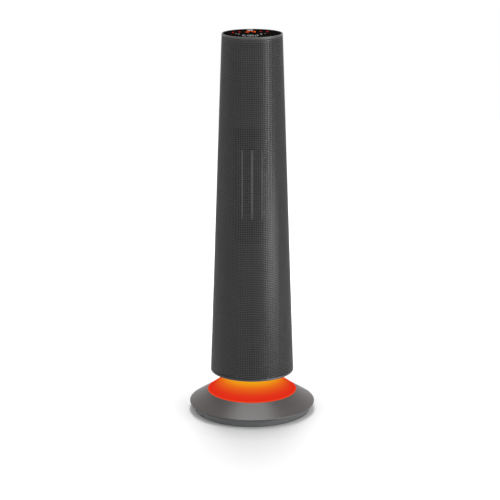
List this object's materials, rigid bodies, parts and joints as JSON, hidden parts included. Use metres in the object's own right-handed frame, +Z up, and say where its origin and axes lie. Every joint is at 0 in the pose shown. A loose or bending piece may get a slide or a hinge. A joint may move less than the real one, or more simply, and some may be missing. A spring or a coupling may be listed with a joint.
{
  "type": "ceramic tower heater",
  "caption": "Tapered tower heater in a perforated sleeve that swings on a round dish base with a glowing ring, with a black touch panel on top.",
  "frame": {"origin": "on the floor under the tower axis, at the middle of the base", "axes": "+Z up, front with the air outlet towards -Y, +X to the right seen from the front"},
  "size_m": [0.2474, 0.2474, 0.75],
  "materials": {
    "dish": "fine satin grey",
    "foot_band": "satin grey",
    "ring_trim": "satin blue-grey",
    "sleeve": "powder-coated perforated sheet",
    "inner_housing": "moulded dark grey",
    "spine": "moulded dark grey",
    "glow": "translucent, lit from inside",
    "lens": "gloss black",
    "rubber": "soft pads",
    "steel": "plain steel",
    "zinc_screw": "zinc plated",
    "circuit": "green board",
    "lamp": "lamp chips",
    "pom": "white acetal",
    "black_plastic": "moulded black",
    "fins": "thin aluminium sheet",
    "bars": "flat aluminium tube",
    "ceramic": "ceramic stones",
    "heatproof": "heat-proof moulding",
    "brass_tab": "tabs",
    "rotor_plastic": "moulded rotor",
    "iron": "laminated iron",
    "copper_coil": "enamelled copper winding",
    "bronze": "sintered bush",
    "display": "digit display",
    "relay": "relay case",
    "spring": "spring wire"
  },
  "bodies": {
    "base": {"base_plate": "foot_band", "base_cover": "dish", "rubber_feet": "rubber", "base_screws": "zinc_screw", "ballast_plate": "steel", "light_ring": "glow", "led_board": "circuit", "led_chips": "lamp", "pivot_post": "black_plastic", "thrust_washer": "pom", "oscillation_gear": "pom", "gear_screws": "zinc_screw", "tip_switch_body": "black_plastic", "plunger_spring": "spring", "cord_gland": "black_plastic"},
    "tower": {"turntable": "inner_housing", "slip_washer": "steel", "bottom_ring": "ring_trim", "mesh_sleeve": "sleeve", "rear_spine": "spine", "spine_screws": "zinc_screw", "front_housing": "inner_housing", "rear_housing": "inner_housing", "outlet_frame": "inner_housing", "heater_frame": "heatproof", "ptc_bars": "bars", "ptc_stones": "ceramic", "heater_fins": "fins", "heater_terminals": "brass_tab", "thermal_cutout": "steel", "blower_deck": "inner_housing", "bearing_plate": "inner_housing", "rotor_bearing": "bronze", "blower_scroll": "inner_housing", "motor_stator": "iron", "motor_coil": "copper_coil", "motor_brackets": "steel", "motor_screws": "zinc_screw", "top_cap": "inner_housing", "top_bezel": "ring_trim", "control_lens": "lens", "control_board": "circuit", "display_module": "display", "indicator_leds": "lamp", "touch_springs": "spring", "power_board": "circuit", "relays": "relay", "terminal_block": "black_plastic", "oscillation_motor": "steel", "rocker_housing": "black_plastic", "rocker_terminals": "brass_tab"},
    "plunger": {"tip_plunger": "pom"},
    "pinion": {"oscillation_pinion": "pom"},
    "rotor": {"blower_rotor": "rotor_plastic", "rotor_shaft": "steel", "rotor_stub": "steel", "motor_armature": "iron"},
    "rocker": {"rocker_key": "black_plastic"}
  },
  "joints": [
    {"name": "swing", "type": "hinge", "parent": "base", "child": "tower", "pos_m": [0, 0, 0.0761], "axis": [0, 0, 1], "range_deg": [-35, 35]},
    {"name": "pinion_spin", "type": "hinge", "parent": "tower", "child": "pinion", "pos_m": [0, 0.039, 0.0921], "axis": [0, 0, 1], "range_deg": [-117, 117]},
    {"name": "blower_spin", "type": "hinge", "parent": "tower", "child": "rotor", "pos_m": [0, 0.01, 0.467], "axis": [0, 0, 1], "continuous": true},
    {"name": "tip_switch", "type": "slide", "parent": "base", "child": "plunger", "axis": [0, 0, -1], "range_m": [0, 0.0038], "stiffness_N_per_m": 60, "springref_m": 0.008, "deforming": ["plunger_spring"]},
    {"name": "mains_rocker", "type": "hinge", "parent": "tower", "child": "rocker", "pos_m": [0, 0.07675, 0.15989], "axis": [1, 0, 0], "range_deg": [0, 20]}
  ],
  "couplings": [
    {"joint": "pinion_spin", "follows": "swing", "ratio": 3.3333}
  ]
}
